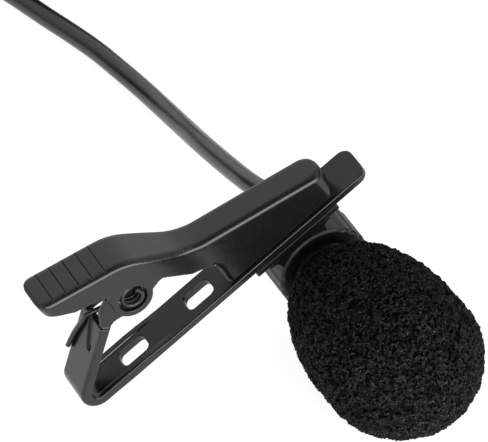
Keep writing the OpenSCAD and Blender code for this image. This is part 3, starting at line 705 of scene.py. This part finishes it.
mouth = BORE + MOUTH
quarter = [taper(q) for q in np.linspace(0, math.pi / 2 - 1e-6, 40)]
outer = [(FOAM_LOOK * x, FOAM_FRONT - FOAM_NOSE * (1 - y)) for x, y in quarter[::-1]]
outer += [(mouth + (FOAM_LOOK - mouth) * x, FOAM_BACK + FOAM_REAR * (1 - y)) for x, y in quarter]
outer = resample(outer, GRID)
bore = [(BORE + 0.75, FOAM_BACK + 0.02), (BORE + 0.3, FOAM_BACK + 0.12),
        (BORE + 0.05, FOAM_BACK + 0.45), (BORE, FOAM_BACK + 1), (BORE, BORE_END - 0.2),
        (BORE - 0.2, BORE_END), (0.6, BORE_END)]
rings = []
for r, y in outer[1:]:
    n = RING_POINTS
    while n > 23 and 2 * math.pi * r / n < LEAST_GRID:
        n //= 2
    rings.append(even_ring(r, y, n))
n_out = 1 + sum(len(ring) for ring in rings)
rings += [even_ring(r, y, len(rings[-1])) for r, y in bore]
counts = [len(ring) for ring in rings]
starts = 1 + np.concatenate([[0], np.cumsum(counts)])
shell = np.concatenate([[[0, -outer[0][1], 0]]] + rings + [[[0, -BORE_END, 0]]])
faces = [(0, 1 + k, 1 + (k + 1) % counts[0]) for k in range(counts[0])]
for i in range(len(rings) - 1):
    faces += between(starts[i], counts[i], starts[i + 1], counts[i + 1])
faces += [(starts[-2] + k, len(shell) - 1, starts[-2] + (k + 1) % counts[-1])
          for k in range(counts[-1])]
outer_faces = [f for f in faces if max(f) < n_out]
forward = -shell[:, 1]
fade = np.clip((np.linalg.norm(shell[:, [0, 2]], axis=1) - BORE - FADE_FROM) / FADE_WIDTH, 0, 1)
fade = np.where(forward > FOAM_BACK + FADE_LEN, 1, fade)
outer_fade = fade[:n_out]
lean = np.zeros((len(shell), 3))
lean[:n_out, 0] = ASKEW * np.clip(forward[:n_out] - ASKEW_FROM, 0, None)
lean[:n_out, 2] = -SAG * outer_fade


def cells(spacing):
    """Random cells: each outer point's way from their walls in mm, and a height within about 1."""
    seeds = []
    for r, y in resample(outer, spacing):
        k = max(1, int(round(2 * math.pi * r / spacing)))
        shift = rng.uniform(-JITTER_ROUND, JITTER_ROUND, k)
        a = 2 * math.pi * (np.arange(k) + shift + rng.uniform()) / k
        yy = y + rng.uniform(-JITTER_ALONG, JITTER_ALONG, k) * spacing
        rr = r + rng.uniform(-JITTER_DEEP, JITTER_DEEP, k) * spacing
        seeds.append(around(rr, yy, a))
    seeds = np.concatenate(seeds)
    tree = KDTree(len(seeds))
    for i, p in enumerate(seeds):
        tree.insert(p, i)
    tree.balance()
    size, rise = rng.uniform(*CELL_SIZES, len(seeds)), rng.uniform(-1, 1, len(seeds))
    out, high = np.zeros(n_out), np.zeros(n_out)
    for i in range(n_out):
        (_, i1, d1), (_, i2, d2), (_, i3, _) = tree.find_n(shell[i], 3)
        out[i] = (d2 - d1) * size[i1]
        high[i] = (rise[i1] + rise[i2] + rise[i3]) / 1.8
    return out, high


def place(name, verts, faces, tone_and_painted_shade):
    """A piece of foam, with each point's random tone and painted shade in the pores, for its
    material.
    """
    o = make(name, verts, faces, "plastic")
    # each point's value: random tone, plus painted shade that is greater the deeper it lies in the
    # pores
    att = o.data.attributes.new("pore_tone_and_painted_shade", "FLOAT", "POINT")
    att.data.foreach_set("value", tone_and_painted_shade.astype(np.float32))
    return o


def drop_islands(o, least):
    """Deletes loose points and every island of o with fewer points than least."""
    bm = bmesh.new()
    bm.from_mesh(o.data)
    seen, doomed = set(), []
    for start in bm.verts:
        if start in seen:
            continue
        seen.add(start)
        island, edge = [start], [start]
        while edge:
            v = edge.pop()
            for e in v.link_edges:
                w = e.other_vert(v)
                if w not in seen:
                    seen.add(w)
                    island.append(w)
                    edge.append(w)
        if len(island) < least:
            doomed += island
    bmesh.ops.delete(bm, geom=doomed, context="VERTS")
    bm.to_mesh(o.data)
    bm.free()


# A pitted core, then ridges along the walls of two layers of cells, standing on it
pit, high = cells(CORE_CELL)
# the core is given dark painted shade, for the pits between the cells
foam = place("windscreen_foam", shell, faces, np.full(len(shell), CORE_SHADE))
normals = np.array([tuple(v.normal) for v in foam.data.vertices])
sink = np.zeros(len(shell))
pits = CORE_PIT * np.minimum(1, pit / (CORE_CELL / 2))
sink[:n_out] = (-CORE_DEPTH - pits + CORE_RISE * high) * outer_fade
core = shell + normals * sink[:, None] + lean
foam.data.vertices.foreach_set("co", core.astype(np.float32).ravel())
foam.data.update()
skin, skin_normals, skin_lean = shell[:n_out], normals[:n_out], lean[:n_out]
sheets = []
for depth, spacing, wall, painted_layer_shade in WALL_LAYERS:
    pit, high = cells(spacing)
    solid = pit < wall + 0.5 * (1 - outer_fade)
    kept = [f for f in outer_faces if sum(bool(solid[i]) for i in f) >= len(f) - 1]
    rough = rng.uniform(-WALL_ROUGH, WALL_ROUGH, n_out)
    rough = rough + WALL_ROUND * np.minimum(1, pit / wall) - WALL_RISE * high
    top = skin - skin_normals * ((depth + rough) * outer_fade)[:, None] + skin_lean
    base = skin - skin_normals * (WALL_FOOT * outer_fade)[:, None] + skin_lean
    # each wall point: random tone plus the layer's painted shade; the feet below get the darkest
    # painted shade
    tone_and_painted_shade = painted_layer_shade + rng.uniform(*WALL_SHADES, n_out)
    edges = {(a, b) for f in kept for a, b in zip(f, f[1:] + f[:1])}
    rim = [(b, a, a + n_out, b + n_out) for a, b in sorted(edges) if (b, a) not in edges]
    under = [tuple(n_out + i for i in f[::-1]) for f in kept]
    sheet = place("walls", np.concatenate([top, base]), kept + under + rim,
                  np.concatenate([tone_and_painted_shade, np.full(n_out, FOOT_SHADE)]))
    drop_islands(sheet, LEAST_ISLAND)
    sheets.append(sheet)
join(foam, sheets)
foam.data.transform(AXIS)
for v in foam.data.vertices:
    v.co.z = max(v.co.z, 0.0)

# Black foam with fine light flecks, and painted shade that darkens it the deeper in its pores
foam_material, t, b = new_material("open_cell_foam", grey(0.01), 0.75, specular=0.07)
v = node(t, "TexCoord").outputs["Object"]
flecks = ramp(t, noise(t, v, 5200, 1, 0.4),
              [(0.0, 0.005), (0.5, 0.01), (0.62, 0.022), (0.74, 0.08), (0.85, 0.26)])
# painted shade in the pores: the higher a point's value, the darker its colour
deep = ramp(t, attribute(t, "pore_tone_and_painted_shade"), [(0.0, 1.0), (0.5, 0.5), (1.0, 0.16)])
t.links.new(multiply(t, flecks, deep), b.inputs["Base Color"])
bump(t, b, noise(t, v, 4200, 2, 0.6), 0.8, 0.1)
foam.data.materials.clear()
foam.data.materials.append(foam_material)
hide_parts("windscreen")
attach(foam, "windscreen")

# ---------------------------------------------------------------- torsion spring, on the level clip
# Its coil in the near ears' holes, and its free leg across the back of the jaw's leg
WIRE_R, COIL_R, COIL_PITCH, COIL_STEPS, WIRE_SIDES = 0.34, 1.33, 0.7, 120, 14
COIL_START, COIL_END, WHOLE_TURNS = 48, -99.5, 3
COIL_SWEEP = COIL_END - COIL_START - 360 * WHOLE_TURNS
coil = []
for i in range(COIL_STEPS + 1):
    a = math.radians(COIL_START + COIL_SWEEP * i / COIL_STEPS)
    coil.append((px + COIL_R * math.cos(a),
                 -PAD_W / 2 + WIRE_R - COIL_PITCH * COIL_SWEEP / 360 * i / COIL_STEPS,
                 pz - SPRING_SAG + COIL_R * math.sin(a)))
e0, e1 = on_leg(9.98, -0.02), on_leg(9.6, -0.36)
e2, e3 = on_leg(8.7, -WIRE_R - 0.05), on_leg(3.5, -WIRE_R - 0.03)
leg = catmull([coil[-1], (e0[0] + 1.6, 0.3, e0[1] - 0.28), (e0[0], 0.65, e0[1]),
               (e1[0], 0.82, e1[1]), (e2[0], 1.1, e2[1]),
               ((e2[0] + e3[0]) / 2, 2.1, (e2[1] + e3[1]) / 2), (e3[0], 2.7, e3[1])], 0.2)
spring = tube("torsion_spring_wire", coil + leg[1:], WIRE_R, "wire", WIRE_SIDES)
finish_piece(spring, "clip_and_microphone", "spring_steel", "torsion_spring")

# ---------------------------------------------------------------- floor and light, in metres
FLOOR_HALF, FLOOR_DROP, FLOOR_GLOW = 3, 0.00002, 0.87
me = bpy.data.meshes.new("floor")
me.from_pydata([(-FLOOR_HALF, -FLOOR_HALF, 0), (FLOOR_HALF, -FLOOR_HALF, 0),
                (FLOOR_HALF, FLOOR_HALF, 0), (-FLOOR_HALF, FLOOR_HALF, 0)], [], [(0, 1, 2, 3)])
floor = bpy.data.objects.new("floor", me)
scene.collection.objects.link(floor)
floor_material, _, b = new_material("pale_floor", grey(0.35), 0.9, specular=0.0)
b.inputs["Emission Color"].default_value = (1, 1, 1, 1)
b.inputs["Emission Strength"].default_value = FLOOR_GLOW
me.materials.append(floor_material)
floor.location.z = -FLOOR_DROP

# A light tent, with black cloth low down, round the camera, at the right and low at the rear left
world = bpy.data.worlds.new("studio")
scene.world = world
world.use_nodes = True
wt = world.node_tree
sky = node(wt, "TexCoord").outputs["Generated"]
parts = node(wt, "SeparateXYZ")
wt.links.new(sky, parts.inputs[0])


def facing(direction):
    """How nearly the sky's point lies in that direction."""
    n = node(wt, "VectorMath")
    n.operation = "DOT_PRODUCT"
    wt.links.new(sky, n.inputs[0])
    n.inputs[1].default_value = direction
    return n.outputs["Value"]


tent = ramp(wt, parts.outputs["Z"], [(0.0, 0.3), (0.1, 0.4), (0.3, 1.35), (0.45, 1.25),
                                     (0.6, 1.08), (0.72, 1.02), (1.0, 0.6)])
for value, stops in ((facing((-0.30, -0.60, 0.74)), [(0.55, 1.0), (0.82, 0.15)]),
                     (parts.outputs["X"], [(0.6, 1.0), (0.68, 0.8), (0.85, 0.2)]),
                     (facing((-0.71, 0.68, 0.19)), [(0.83, 1.0), (0.98, 0.1)])):
    tent = multiply(wt, tent, ramp(wt, value, stops))
wt.links.new(tent, wt.nodes["Background"].inputs["Color"])
wt.nodes["Background"].inputs["Strength"].default_value = 1.0

# A soft box low in front, for the ends that face it
FRONT_PLACE, FRONT_TARGET = (0.05, -0.85, 0.22), (0, 0, 0.02)
FRONT_SIZE, FRONT_POWER = (1.2, 0.56), 13
panel = bpy.data.lights.new("front", "AREA")
panel.shape = "RECTANGLE"
panel.size, panel.size_y = FRONT_SIZE
panel.energy = FRONT_POWER
front = bpy.data.objects.new("front", panel)
scene.collection.objects.link(front)
front.location = FRONT_PLACE
aim = Vector(FRONT_TARGET) - Vector(FRONT_PLACE)
front.rotation_euler = aim.to_track_quat("-Z", "Y").to_euler()
